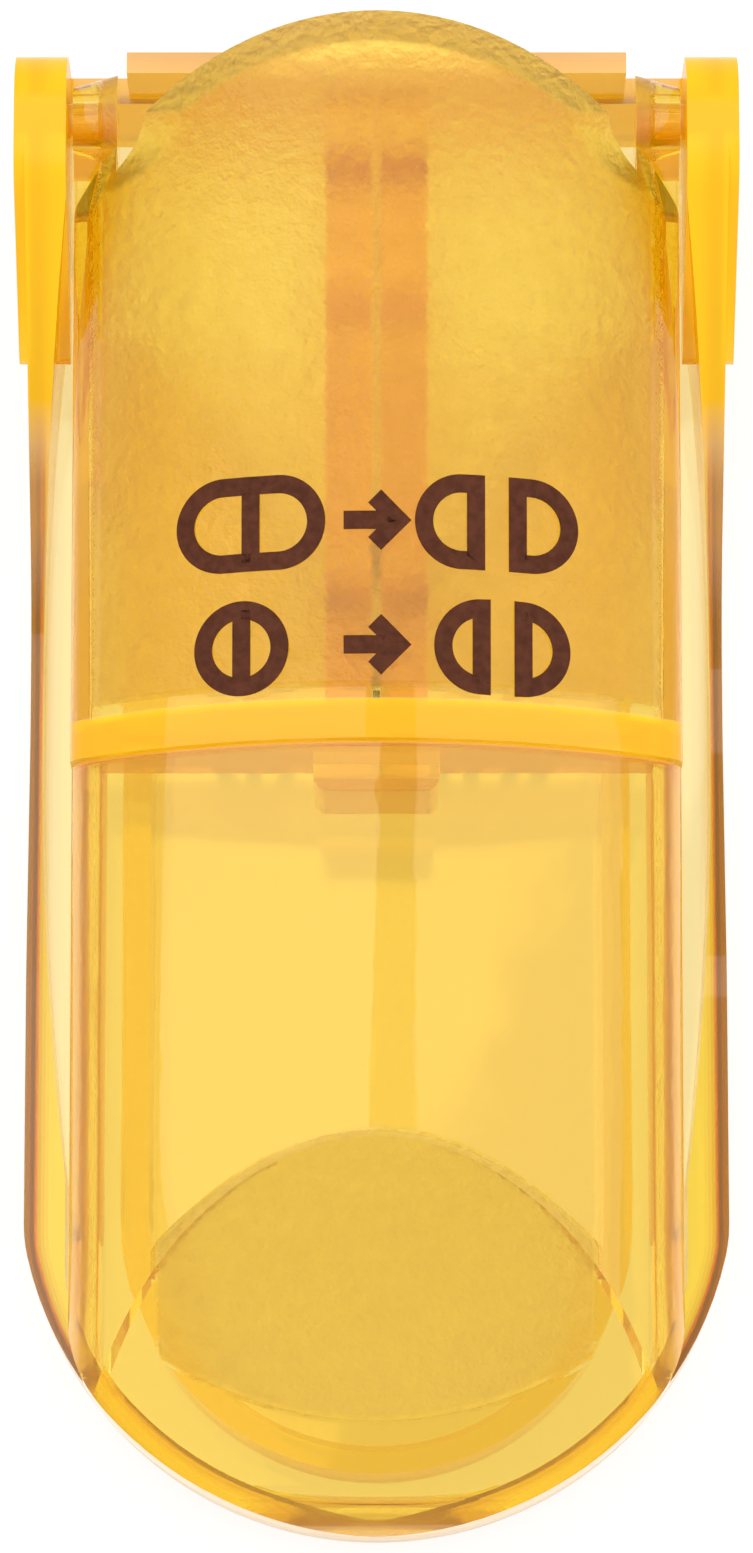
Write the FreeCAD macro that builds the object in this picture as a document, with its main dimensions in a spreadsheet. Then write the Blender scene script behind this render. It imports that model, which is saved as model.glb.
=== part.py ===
"""Pocket pill splitter: a hinged lid with a blade unit over a base with a V cradle and a storage tray.

Millimetres. +Z is up, +Y points to the hinge end, +X to the right. The origin is on the ground,
under the middle of the whole object.
"""
import FreeCAD, Part
import math
import os

import Sketcher

SIZES = [
    # name, value, meaning
    ("overall_length", 82.4, "front of the lid to the back of the base"),
    ("side_wall", 2.3, "side walls of the base beside the lid"),
    ("nose_flatness", 0.3, "nose radius of the base over half its width"),
    ("base_corner_radius", 8.0, "between the nose and the straight side"),
    ("base_bottom_round", 1.6, "lower outer edge of the base"),
    ("base_wall", 1.5, "front and rear walls of the base"),
    ("base_floor", 1.5, "floor of the base"),
    ("waist_wall", 0.7, "thinnest stretch of the side walls, beside the finger gap"),
    ("rim_height", 6.6, "top of the base wall at the front"),
    ("scoop_height", 4.2, "top of the base wall at the finger scoop"),
    ("scoop_front", 44.0, "rear face to the front end of the scoop"),
    ("scoop_rear", 29.0, "rear face to the rear end of the scoop"),
    ("scoop_round", 14.0, "blends at both ends of the scoop"),
    ("hinge_height", 14.0, "hinge axis above the ground"),
    ("ear_radius", 3.6, "round end of the ears"),
    ("ear_overhang", 0.6, "ears stand out of the side walls"),
    ("bar_thickness", 1.2, "rear bar"),
    ("bar_rise", 1.5, "rear bar above the hinge axis"),
    ("knuckle_room", 1.0, "low rear wall to the knuckles above it"),
    ("pin_radius", 1.0, "hinge pins"),
    ("pin_clearance", 0.05, "running fit of the knuckles on the pins"),
    ("lid_width", 34.0, "lid across its side walls"),
    ("lid_wall", 1.5, "wall of the lid"),
    ("lid_clearance", 0.3, "gap between the lid and the base"),
    ("lid_lip", 0.2, "nose of the lid stands in front of the base"),
    ("lid_corner_radius", 8.0, "between the lid's nose and its sides"),
    ("skirt_bottom", 3.0, "lower edge of the lid's side skirts"),
    ("skirt_front_gap", 1.3, "nose of the base's cavity to the front end of the skirts"),
    ("skirt_front_round", 2.0, "lower front corner of the skirts"),
    ("skirt_rear_round", 8.0, "lower rear corner of the skirts"),
    ("skirt_rise_round", 4.0, "blend from the skirts' rear slope to the webs"),
    ("skirt_rear", 24.0, "rear face to the rear end of the skirts"),
    ("hood_rise", 9.5, "hinge axis to the top of the hood at its rear rim"),
    ("hood_rear_sag", 10.3, "arch of the hood at its rear rim"),
    ("hood_front_height", 19.2, "top of the hood at the bulkhead"),
    ("hood_front_sag", 6.6, "arch of the hood at the bulkhead"),
    ("hood_corner_radius", 1.8, "between the arch and the side walls"),
    ("rim_lean", 39.0, "rear rim of the hood from the vertical, degrees"),
    ("bulkhead_front", 39.9, "rear face to the front of the bulkhead"),
    ("bulkhead_thickness", 2.0, "cross wall of the lid"),
    ("bulkhead_room", 1.1, "tray to the lower edge of the bulkhead above it"),
    ("nose_step", 0.7, "hood to the lower front half at the bulkhead"),
    ("nose_fall", 1.0, "drop of the front half from the bulkhead to the ramp"),
    ("nose_shoulder", 4.0, "between the front half's crown and its sides"),
    ("ramp_length", 20.8, "front face to the start of the thumb ramp"),
    ("ramp_steep_length", 9.0, "steeper rear part of the thumb ramp"),
    ("ramp_steep_share", 0.57, "share of the ramp's drop that its steeper part takes"),
    ("ramp_hollow", 60.0, "radius of the hollow between the ramp's two parts"),
    ("lip_rise", 2.47, "lower edge of the lid's front wall to where the thumb ramp meets it"),
    ("lip_round", 2.6, "blend between the ramp and the front wall"),
    ("web_thickness", 2.5, "hinge webs of the lid"),
    ("web_length", 24.0, "rear face to the front end of the webs"),
    ("web_room", 0.5, "webs to the cradle and the rear bar between them"),
    ("knuckle_root", 2.6, "knuckle radius at its inner end"),
    ("knuckle_tip", 1.9, "knuckle radius next to the ear"),
    ("cradle_length", 22.0, "pill cradle, front to rear"),
    ("cradle_setback", 1.0, "bulkhead to the front of the cradle"),
    ("cradle_top", 8.0, "top of the cradle"),
    ("pocket_floor", 3.2, "floor of the V pocket"),
    ("pocket_angle", 66.0, "opening angle of the V pocket, degrees"),
    ("pocket_nose", 3.0, "cradle front to the point of the V"),
    ("slot_room", 0.4, "blade to each side of its slot"),
    ("slot_floor", 2.2, "bottom of the slot"),
    ("grip_thickness", 0.8, "soft pads on the V faces"),
    ("grip_start", 2.4, "point of the V to the near end of a pad"),
    ("grip_end", 5.25, "far end of a pad to the mouth of the V"),
    ("grip_gap", 0.4, "pads below the top of the cradle"),
    ("tray_side_gap", 1.6, "storage tray to the lid's side walls"),
    ("tray_wall", 1.5, "wall of the tray"),
    ("tray_floor", 1.0, "floor of the tray"),
    ("tray_top", 7.4, "top of the tray walls"),
    ("tray_front_gap", 4.9, "base nose to the inside of the tray's nose"),
    ("tray_gap", 0.4, "tray to the cradle"),
    ("holder_thickness", 2.5, "one cheek of the blade holder"),
    ("holder_room", 1.0, "cradle to the lower edge of the cheeks"),
    ("holder_rear_gap", 3.8, "rear face to the rear end of the cheeks"),
    ("holder_gap", 0.4, "cheeks under the hood"),
    ("blade_thickness", 0.4, "cutting blade"),
    ("blade_cover", 2.7, "inside of the hood to the upper edge of the blade, at the bulkhead"),
    ("edge_room", 0.6, "bottom of the slot to the cutting edge"),
    ("blade_bevel", 1.4, "height of the ground bevel"),
    ("blade_front_gap", 0.5, "bulkhead to the front end of the blade"),
    ("stud_radius", 0.8, "studs through the blade holder"),
    ("stud_head_radius", 1.4, "stud heads"),
    ("stud_head", 0.3, "stud heads stand out of the cheeks"),
    ("stud_end_gap", 6.5, "ends of the blade to the studs"),
    ("keeper_width", 6.8, "clip on the bulkhead in front of the blade holder"),
    ("keeper_depth", 2.4, "clip, front to rear"),
    ("keeper_round", 0.8, "front edges of the clip"),
    ("joint_gap", 0.05, "fixed pieces to what they are seated on or pressed into"),
    ("clear_of_moving", 0.35, "room round parts that pass each other when the lid turns"),
    ("past", 5.0, "how far a cutting or limiting body runs past what it cuts"),
]

DERIVED = [
    ("rear", "overall_length / 2"),
    ("hinge_y", "rear - ear_radius"),
    ("bulkhead_y", "rear - bulkhead_front"),
    ("bulkhead_rear", "bulkhead_y + bulkhead_thickness"),
    ("hood_height", "hinge_height + hood_rise"),
    ("nose_height", "hood_front_height - nose_step"),
    ("ramp_top", "nose_height - nose_fall"),
    ("lip_height", "rim_height + lid_clearance + lip_rise"),
    ("ramp_drop", "ramp_top - lip_height"),
    ("steep_slope", "ramp_steep_share * ramp_drop / ramp_steep_length"),
    ("gentle_slope", "(1 - ramp_steep_share) * ramp_drop / (ramp_length - ramp_steep_length)"),
    ("lid_half", "lid_width / 2"),
    ("cavity_half", "lid_half + lid_clearance"),
    ("base_half", "cavity_half + side_wall"),
    ("base_front_radius", "base_half + nose_flatness"),
    ("cavity_radius", "base_front_radius - base_wall"),
    ("cavity_corner", "base_corner_radius - base_wall"),
    ("cavity_rise", "sqrt((cavity_radius - cavity_corner) ^ 2 - (cavity_half - cavity_corner) ^ 2)"),
    ("cavity_side_y", "cavity_radius - cavity_rise + lid_lip + base_wall - rear"),
    ("skirt_front_y", "cavity_side_y + skirt_front_gap"),
    ("rear_wall_height", "hinge_height - knuckle_root - knuckle_room"),
    ("between_webs", "lid_half - web_thickness - web_room"),
    ("tray_half", "lid_half - lid_wall - tray_side_gap"),
    ("bulkhead_bottom", "tray_top + bulkhead_room"),
    ("cradle_front", "bulkhead_rear + cradle_setback"),
    ("slot_width", "blade_thickness + 2 * slot_room"),
    ("face_length", "(cradle_length - pocket_nose) / cos(pocket_angle / 2 * 1 deg)"),
    ("grip_length", "face_length - grip_start - grip_end"),
    ("blade_edge", "slot_floor + edge_room"),
    ("blade_top", "hood_front_height - lid_wall - blade_cover"),
    ("holder_bottom", "cradle_top + holder_room"),
    ("stud_height", "(holder_bottom + blade_top) / 2"),
    ("holder_inner", "blade_thickness / 2 + joint_gap"),
    ("holder_half", "holder_inner + holder_thickness"),
    ("holder_front", "bulkhead_rear + joint_gap"),
    ("seat", "base_floor + joint_gap"),
    ("holder_rear", "rear - holder_rear_gap"),
    ("blade_front", "bulkhead_rear + blade_front_gap"),
    ("relief_radius", "sqrt(ear_radius ^ 2 + bar_rise ^ 2) + clear_of_moving"),
    ("blade_rear", "hinge_y - relief_radius"),
    ("stud_front_y", "blade_front + stud_end_gap"),
    ("stud_rear_y", "blade_rear - stud_end_gap"),
]

# Share of a half width that a corner may be rounded by, so that a short straight stays between.
NEARLY = 0.98

doc = FreeCAD.newDocument("pill_splitter")
sheet = doc.addObject("Spreadsheet::Sheet", "Sizes")


def fill_sheet():
    """Write the driving sizes as plain numbers and the derived ones as formulas."""
    row = 1
    for name, number, meaning in SIZES:
        sheet.set("A%d" % row, name)
        sheet.set("B%d" % row, str(number))
        sheet.set("C%d" % row, meaning)
        sheet.setAlias("B%d" % row, name)
        row += 1
    for name, formula in DERIVED:
        sheet.set("A%d" % row, name)
        sheet.set("B%d" % row, "=" + formula)
        sheet.setAlias("B%d" % row, name)
        row += 1
    doc.recompute()


def size(name):
    """One value of the sheet."""
    return float(sheet.get(name))


def vec(x, y, z):
    return FreeCAD.Vector(x, y, z)


# Outlines ------------------------------------------------------------------------------------


def in_plan(u, v):
    """An outline point seen from above: u is X, v runs to the front."""
    return vec(u, -v, 0)


def in_section(y):
    """Outline points in the cross section at y: u is X, v is Z."""
    return lambda u, v: vec(u, y, v)


def in_profile(u, v):
    """An outline point seen from the side: u is Y, v is Z."""
    return vec(0, u, v)


def arch_wire(place, half, radius, corner, apex, foot):
    """Closed outline: a flat foot, two straight sides, two round corners and one big arc."""
    middle = apex - radius
    corner_u = half - corner
    corner_v = middle + math.sqrt((radius - corner) ** 2 - corner_u ** 2)
    reach = radius / (radius - corner)
    touch = (corner_u * reach, middle + (corner_v - middle) * reach)
    bisector = math.atan2(corner_v - middle, corner_u) / 2
    bend = (corner_u + corner * math.cos(bisector), corner_v + corner * math.sin(bisector))
    right_arc = Part.Arc(place(half, corner_v), place(*bend), place(*touch))
    top_arc = Part.Arc(place(*touch), place(0, apex), place(-touch[0], touch[1]))
    left_arc = Part.Arc(place(-touch[0], touch[1]), place(-bend[0], bend[1]), place(-half, corner_v))
    return Part.Wire([
        Part.LineSegment(place(-half, foot), place(half, foot)).toShape(),
        Part.LineSegment(place(half, foot), place(half, corner_v)).toShape(),
        right_arc.toShape(),
        top_arc.toShape(),
        left_arc.toShape(),
        Part.LineSegment(place(-half, corner_v), place(-half, foot)).toShape(),
    ])


def rounded_wire(place, corners):
    """Closed outline through corners (u, v, radius), each rounded by its own radius."""
    points = [vec(u, v, 0) for u, v, radius in corners]
    ends = []
    edges = []
    for index, (u, v, radius) in enumerate(corners):
        here = points[index]
        before = (points[index - 1] - here).normalize()
        after = (points[(index + 1) % len(points)] - here).normalize()
        if radius == 0:
            ends.append((here, here))
            continue
        half_turn = before.getAngle(after) / 2
        setback = radius / math.tan(half_turn)
        start = here + before * setback
        finish = here + after * setback
        inward = (before + after).normalize()
        crest = here + inward * (radius / math.sin(half_turn) - radius)
        edges.append(Part.Arc(place(*start[:2]), place(*crest[:2]), place(*finish[:2])).toShape())
        ends.append((start, finish))
    for index, (start, finish) in enumerate(ends):
        following = ends[(index + 1) % len(ends)][0]
        if (following - finish).Length > 1e-6:
            edges.append(Part.LineSegment(place(*finish[:2]), place(*following[:2])).toShape())
    return Part.Wire(Part.__sortEdges__(edges))


def extrude(wire, direction, start=None):
    """A solid from a closed outline, moved to start first."""
    face = Part.Face(wire)
    if start is not None:
        face.translate(start)
    return face.extrude(direction)


def across(wire, left, right):
    """A side-view outline made solid between two values of X."""
    return extrude(wire, vec(right - left, 0, 0), vec(left, 0, 0))


def block(x0, x1, y0, y1, z0, z1):
    return Part.makeBox(x1 - x0, y1 - y0, z1 - z0, vec(x0, y0, z0))


def rod(radius, x0, x1, y, z):
    """A round bar along X."""
    return Part.makeCylinder(radius, x1 - x0, vec(x0, y, z), vec(1, 0, 0))


def both_sides(shape):
    """The shape and its mirror image in the plane X = 0."""
    return [shape, shape.mirror(vec(0, 0, 0), vec(1, 0, 0))]


# Base ----------------------------------------------------------------------------------------


def base_plan(inset, height, bottom):
    """The base seen from above, shrunk by inset at the nose, as a solid from bottom upwards."""
    half = size("base_half") if inset == 0 else size("cavity_half")
    wire = arch_wire(
        in_plan,
        half,
        size("base_front_radius") - inset,
        size("base_corner_radius") - inset,
        size("rear") - size("lid_lip") - inset,
        inset - size("rear"),
    )
    return extrude(wire, vec(0, 0, height), vec(0, 0, bottom))


def base_side_profile():
    """Side view of the base: front rim, finger scoop, arm and round ear."""
    rear = size("rear")
    rim = size("rim_height")
    scoop = size("scoop_height")
    ear_top = size("hinge_height") + size("ear_radius")
    blend = size("scoop_round")
    front = -rear - size("past")
    corners = [
        (front, 0, 0),
        (front, rim, 0),
        (rear - size("scoop_front") - blend / 2, rim, blend),
        (rear - size("scoop_front") + blend / 2, scoop, blend),
        (rear - size("scoop_rear"), scoop, blend),
        (size("hinge_y") - size("ear_radius"), ear_top, size("ear_radius")),
        (rear, ear_top, size("ear_radius") * NEARLY),
        (rear, 0, 0),
    ]
    return rounded_wire(in_profile, corners)


def waist_cut():
    """Barrel-shaped widening of the cavity that leaves the finger gaps beside the lid."""
    rear_end = size("hinge_y") - size("ear_radius") - size("base_wall")
    front_end = size("base_front_radius") - size("rear")
    half_chord = (rear_end - front_end) / 2
    middle = (rear_end + front_end) / 2
    widest = size("base_half") - size("waist_wall")
    sag = widest - size("cavity_half")
    radius = (half_chord ** 2 + sag ** 2) / (2 * sag)
    deep = size("hood_height")
    floor = size("base_floor")
    right = Part.makeCylinder(radius, deep, vec(widest - radius, middle, floor))
    left = Part.makeCylinder(radius, deep, vec(radius - widest, middle, floor))
    return right.common(left).common(
        block(-widest, widest, front_end, rear_end, floor, floor + deep)
    )


def ear_plate():
    """Right ear: a thicker plate round the hinge that runs down into the arm."""
    rear = size("rear")
    radius = size("ear_radius")
    axis = size("hinge_height")
    arm_end = size("hinge_y") - 4 * radius
    corners = [
        (rear, axis + radius, radius * NEARLY),
        (rear, axis - radius, radius * NEARLY),
        (arm_end, axis - 2 * radius, radius / 4),
        (size("hinge_y") - radius, axis + radius, radius),
    ]
    wire = rounded_wire(in_profile, corners)
    return across(wire, size("cavity_half"), size("base_half") + size("ear_overhang"))


def round_bottom(shape):
    """Round the lower outer edge."""
    edges = [edge for edge in shape.Edges if edge.BoundBox.ZMax < 1e-6]
    return shape.makeFillet(size("base_bottom_round"), edges)


def base_shell():
    rear = size("rear")
    cavity_half = size("cavity_half")
    tall = size("hood_height")
    outer = round_bottom(base_plan(0, tall, 0))
    outer = outer.common(across(base_side_profile(), -2 * size("base_half"), 2 * size("base_half")))
    cavity = base_plan(size("base_wall"), tall, size("base_floor")).fuse(waist_cut())
    shell = outer.cut(cavity).fuse(both_sides(ear_plate()))
    low_wall = block(
        -cavity_half, cavity_half, rear - size("base_wall") - size("past"), rear + size("past"),
        size("rear_wall_height"), tall,
    )
    bar = block(
        -size("between_webs"), size("between_webs"), rear - size("bar_thickness"), rear,
        size("rear_wall_height") - size("base_wall"), size("hinge_height") + size("bar_rise"),
    )
    reach = size("base_half") + size("ear_overhang") + size("past")
    pin_holes = rod(
        size("pin_radius") + size("joint_gap"), -reach, reach, size("hinge_y"), size("hinge_height")
    )
    return shell.cut(low_wall).fuse(bar).cut(pin_holes).removeSplitter()


# Lid -----------------------------------------------------------------------------------------


def hood_section(y, inset, foot):
    """Cross section of the hood at y, shrunk by inset."""
    share = (y - size("bulkhead_y")) / size("bulkhead_front")
    apex = size("hood_front_height") + share * (size("hood_height") - size("hood_front_height"))
    sag = size("hood_front_sag") + share * (size("hood_rear_sag") - size("hood_front_sag"))
    half = size("lid_half")
    radius = (half ** 2 + sag ** 2) / (2 * sag)
    corner = max(size("hood_corner_radius") - inset, size("hood_corner_radius") / 4)
    return arch_wire(in_section(y), half - inset, radius - inset, corner, apex - inset, foot)


def hood(inset, front, rear, foot):
    """The arched hood between two values of Y."""
    sections = [hood_section(front, inset, foot), hood_section(rear, inset, foot)]
    return Part.makeLoft(sections, True, True)


def nose_plan(inset):
    """The lid's front half seen from above, shrunk by inset."""
    wire = arch_wire(
        in_plan,
        size("lid_half") - inset,
        size("base_front_radius") + size("lid_lip") - inset,
        size("lid_corner_radius") - inset,
        size("rear") - inset,
        -size("bulkhead_rear") + inset,
    )
    return extrude(wire, vec(0, 0, size("hood_height")))


def nose_fall(y):
    """How far the crown of the front half has dropped at y, towards the front."""
    ramp_y = size("ramp_length") - size("rear")
    return size("nose_fall") * (size("bulkhead_y") - y) / (size("bulkhead_y") - ramp_y)


def nose_profile(inset, foot):
    """Side view that cuts the hollow thumb ramp and the round lip, clear of the crown behind the ramp."""
    steep = size("steep_slope")
    gentle = size("gentle_slope")
    front = -size("rear")
    steep_foot = size("ramp_top") - steep * size("ramp_length") - inset * math.hypot(1, steep)
    gentle_foot = size("lip_height") - inset * math.hypot(1, gentle)
    meet = (gentle_foot - steep_foot) / (steep - gentle)
    back = size("bulkhead_rear") - inset
    corners = [
        (back, foot, 0),
        (back, steep_foot + steep * (back - front), 0),
        (front + meet, gentle_foot + gentle * meet, size("ramp_hollow") + inset),
        (front + inset, gentle_foot + gentle * inset, size("lip_round") - inset / 2),
        (front + inset, foot, 0),
    ]
    return across(rounded_wire(in_profile, corners), -size("lid_width"), size("lid_width"))


def nose_section(inset):
    """Cross section of the front half, run from the front to the rear and gently up."""
    sag = size("hood_front_sag")
    half = size("lid_half")
    radius = (half ** 2 + sag ** 2) / (2 * sag)
    start = -size("rear") - size("past")
    length = size("overall_length")
    wire = arch_wire(
        in_section(start),
        half - inset,
        radius - inset,
        size("nose_shoulder") - inset,
        size("nose_height") - nose_fall(start) - inset,
        -size("past"),
    )
    return extrude(wire, vec(0, length, nose_fall(start) - nose_fall(start + length)))


def nose(inset, foot):
    """The front half as a solid, shrunk by inset."""
    return nose_plan(inset).common(nose_profile(inset, foot)).common(nose_section(inset))


def behind_rim():
    """Everything behind the slanted rear rim of the hood."""
    big = size("overall_length")
    cutter = Part.makeBox(2 * big, big, 2 * big, vec(-big, 0, -big))
    cutter.rotate(vec(0, 0, 0), vec(1, 0, 0), -size("rim_lean"))
    cutter.translate(vec(0, size("rear"), size("hood_height")))
    return cutter


def lid_side_room():
    """Side view of the space kept for the lid: over the base's front rim, and its side skirts."""
    rear = size("rear")
    rim = size("rim_height") + size("lid_clearance")
    skirt = size("skirt_bottom")
    skirt_front = size("skirt_front_y")
    skirt_rear = rear - size("skirt_rear")
    rise = size("hinge_height") - size("knuckle_root")
    corners = [
        (-rear - size("past"), rim, 0),
        (skirt_front, rim, 0),
        (skirt_front, skirt, size("skirt_front_round")),
        (skirt_rear, skirt, size("skirt_rear_round")),
        (size("hinge_y") - size("knuckle_root"), rise, size("skirt_rise_round")),
        (rear + size("past"), rise, 0),
        (rear + size("past"), size("hood_height") + size("past"), 0),
        (-rear - size("past"), size("hood_height") + size("past"), 0),
    ]
    return across(rounded_wire(in_profile, corners), -size("lid_width"), size("lid_width"))


def hinge_web():
    """Right hinge web: thickens the side wall and reaches back to the knuckle."""
    axis_y = size("hinge_y")
    axis_z = size("hinge_height")
    root = size("knuckle_root")
    half = size("lid_half")
    web_front = size("rear") - size("web_length")
    shoulder = size("hood_height") - size("hood_rear_sag") - size("hood_corner_radius") / 2
    corners = [
        (web_front, 0, 0),
        (axis_y, 0, 0),
        (axis_y, axis_z + root / 2, 0),
        (axis_y - 2 * root, shoulder, 0),
        (web_front, shoulder, 0),
    ]
    plate = across(rounded_wire(in_profile, corners), half - size("web_thickness"), half)
    web = plate.common(lid_side_room())
    knuckle = Part.makeCone(
        size("knuckle_root"), size("knuckle_tip"), size("web_thickness"),
        vec(half - size("web_thickness"), axis_y, axis_z), vec(1, 0, 0),
    )
    return web.fuse(knuckle)


def lid_shell():
    wall = size("lid_wall")
    inner_half = size("lid_half") - wall
    bulkhead_y = size("bulkhead_y")
    bulkhead_rear = size("bulkhead_rear")
    rear = size("rear")
    past = size("past")
    hood_wall = hood(0, bulkhead_y, rear + past, -past)
    hood_wall = hood_wall.cut(hood(wall, bulkhead_rear, rear + 2 * past, -2 * past))
    under_bulkhead = block(
        -inner_half, inner_half, bulkhead_y - past, bulkhead_rear, -2 * past, size("bulkhead_bottom")
    )
    hood_wall = hood_wall.cut(under_bulkhead).cut(behind_rim())
    front = nose(0, 0).cut(nose(wall, -past))
    front = front.cut(block(-rear, rear, bulkhead_y, rear, 0, size("hood_height")))
    lid = hood_wall.fuse(front)
    lid = lid.common(lid_side_room())
    lid = lid.fuse(both_sides(hinge_web()))
    inner = size("lid_half") - size("web_thickness")
    relief = rod(size("relief_radius"), -inner, inner, size("hinge_y"), size("hinge_height"))
    bore = rod(
        size("pin_radius") + size("pin_clearance"), -size("lid_width"), size("lid_width"),
        size("hinge_y"), size("hinge_height"),
    )
    return lid.cut(relief).cut(bore).removeSplitter()


# Parametric helpers --------------------------------------------------------------------------


def bind(thing, **expressions):
    """Tie properties to formulas over the sheet. A name may give a path with __ for a dot."""
    for path, formula in expressions.items():
        thing.setExpression(path.replace("__", "."), in_sheet(formula))


def in_sheet(formula):
    """Prefix every size in a formula with the sheet's name."""
    words = []
    word = ""
    for letter in formula + " ":
        if letter.isalnum() or letter in "_.":
            word += letter
            continue
        words.append("Sizes." + word if word in ALL_SIZES else word)
        words.append(letter)
        word = ""
    return "".join(words).strip()


def solid_block(name, x0, x1, y0, y1, z0, z1):
    """A box between formulas."""
    box = doc.addObject("Part::Box", name)
    bind(
        box,
        Length="(%s) - (%s)" % (x1, x0),
        Width="(%s) - (%s)" % (y1, y0),
        Height="(%s) - (%s)" % (z1, z0),
        Placement__Base__x=x0,
        Placement__Base__y=y0,
        Placement__Base__z=z0,
    )
    return box


def upright_cylinder(name, radius, y, z0, z1):
    """A cylinder along Z on the plane of symmetry."""
    cylinder = doc.addObject("Part::Cylinder", name)
    bind(cylinder, Radius=radius, Height="(%s) - (%s)" % (z1, z0))
    bind(cylinder, Placement__Base__y=y, Placement__Base__z=z0)
    return cylinder


def level_cylinder(name, radius, x0, x1, y, z):
    """A cylinder along X."""
    cylinder = doc.addObject("Part::Cylinder", name)
    cylinder.Placement.Rotation = FreeCAD.Rotation(vec(0, 1, 0), 90)
    bind(cylinder, Radius=radius, Height="(%s) - (%s)" % (x1, x0))
    bind(cylinder, Placement__Base__x=x0, Placement__Base__y=y, Placement__Base__z=z)
    return cylinder


def cut(name, base, tool):
    result = doc.addObject("Part::Cut", name)
    result.Base = base
    result.Tool = tool
    return result


def fuse(name, shapes):
    result = doc.addObject("Part::MultiFuse", name)
    result.Shapes = shapes
    result.Refine = True
    return result


def outline(body, name, role, corners):
    """A closed polygon on one of the body's origin planes, every corner tied to two formulas."""
    sketch = body.newObject("Sketcher::SketchObject", name)
    plane = [item for item in body.Origin.OriginFeatures if item.Role == role][0]
    sketch.AttachmentSupport = [(plane, "")]
    sketch.MapMode = "FlatFace"
    count = len(corners)
    ring = []
    for index in range(count):
        turn = 2 * math.pi * (index + 0.5) / count
        ring.append(vec(10 * math.cos(turn), 10 * math.sin(turn), 0))
    for index in range(count):
        sketch.addGeometry(Part.LineSegment(ring[index], ring[(index + 1) % count]), False)
    for index in range(count):
        joined = Sketcher.Constraint("Coincident", index, 2, (index + 1) % count, 1)
        sketch.addConstraint(joined)
    for index, (u, v) in enumerate(corners):
        for kind, formula, start in (("DistanceX", u, ring[index].x), ("DistanceY", v, ring[index].y)):
            number = sketch.addConstraint(Sketcher.Constraint(kind, -1, 1, index, 1, start))
            sketch.setExpression("Constraints[%d]" % number, in_sheet(formula))
    return sketch


def pad(body, name, sketch, length, midplane=False, back=False):
    feature = body.newObject("PartDesign::Pad", name)
    feature.Profile = sketch
    feature.Midplane = midplane
    feature.Reversed = back
    bind(feature, Length=length)
    doc.recompute()
    return feature


# Inserts of the base -------------------------------------------------------------------------


def pill_cradle():
    """Block with a V pocket that opens towards the hinge and a slot for the blade."""
    body = doc.addObject("PartDesign::Body", "pill_cradle")
    half = "between_webs"
    far = "cradle_front + cradle_length"
    plan = outline(body, "cradle_plan", "XY_Plane", [
        ("-" + half, "cradle_front"),
        (half, "cradle_front"),
        (half, far),
        ("-" + half, far),
    ])
    pad(body, "cradle_block", plan, "cradle_top")
    point = "cradle_front + pocket_nose"
    run = "(cradle_length - pocket_nose + slot_width)"
    mouth = run + " * tan(pocket_angle / 2)"
    vee = outline(body, "cradle_vee", "XY_Plane", [
        ("0", point),
        (mouth, point + " + " + run),
        ("-" + mouth, point + " + " + run),
    ])
    below = outline(body, "cradle_under", "XY_Plane", [
        ("-" + half + " - past", "cradle_front - past"),
        (half + " + past", "cradle_front - past"),
        (half + " + past", far + " + past"),
        ("-" + half + " - past", far + " + past"),
    ])
    slot = outline(body, "cradle_slot", "XY_Plane", [
        ("-slot_width / 2", "cradle_front - past"),
        ("slot_width / 2", "cradle_front - past"),
        ("slot_width / 2", far + " + past"),
        ("-slot_width / 2", far + " + past"),
    ])
    for name, sketch, start, end in (
        ("pocket", vee, "pocket_floor", "cradle_top + past"),
        ("blade_slot", slot, "slot_floor", "cradle_top + past"),
        ("underside", below, "-past", "seat"),
    ):
        sketch.setExpression("AttachmentOffset.Base.z", in_sheet(start))
        pocket = body.newObject("PartDesign::Pocket", name)
        pocket.Profile = sketch
        pocket.Reversed = True
        bind(pocket, Length="(%s) - (%s)" % (end, start))
        doc.recompute()
    return body


def cradle_grip(side):
    """Soft pad on one face of the V."""
    grip = doc.addObject("Part::Box", "cradle_grip_" + side)
    lean = "pocket_angle / 2"
    point = "cradle_front + pocket_nose"
    bind(
        grip,
        Length="grip_length",
        Width="grip_thickness",
        Height="cradle_top - grip_gap - pocket_floor",
        Placement__Base__z="pocket_floor + joint_gap",
    )
    off = "joint_gap" if side == "right" else "(joint_gap + grip_thickness)"
    x = "grip_start * sin(%s) - %s * cos(%s)" % (lean, off, lean)
    y = point + " + grip_start * cos(%s) + %s * sin(%s)" % (lean, off, lean)
    turn = "90 - " if side == "right" else "90 + "
    across_middle = x if side == "right" else "-(%s)" % x
    bind(
        grip,
        Placement__Rotation__Angle=turn + lean,
        Placement__Base__x=across_middle,
        Placement__Base__y=y,
    )
    return grip


def storage_tray():
    """U-shaped tray in the nose of the base, open towards the cradle."""
    far = "cradle_front - tray_gap - clear_of_moving"
    nose_y = "lid_lip + tray_front_gap - rear"
    inner = "tray_half - tray_wall"
    middle = nose_y + " + " + inner
    outer = fuse("tray_outside", [
        solid_block("tray_box", "-tray_half", "tray_half", middle, far, "seat", "tray_top"),
        upright_cylinder("tray_nose", "tray_half", middle, "seat", "tray_top"),
    ])
    above = "seat + tray_floor"
    room = fuse("tray_inside", [
        solid_block("tray_room", "-(%s)" % inner, inner, middle, far + " + past", above, "tray_top + past"),
        upright_cylinder("tray_nose_room", inner, middle, above, "tray_top + past"),
    ])
    return cut("storage_tray", outer, room)


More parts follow.
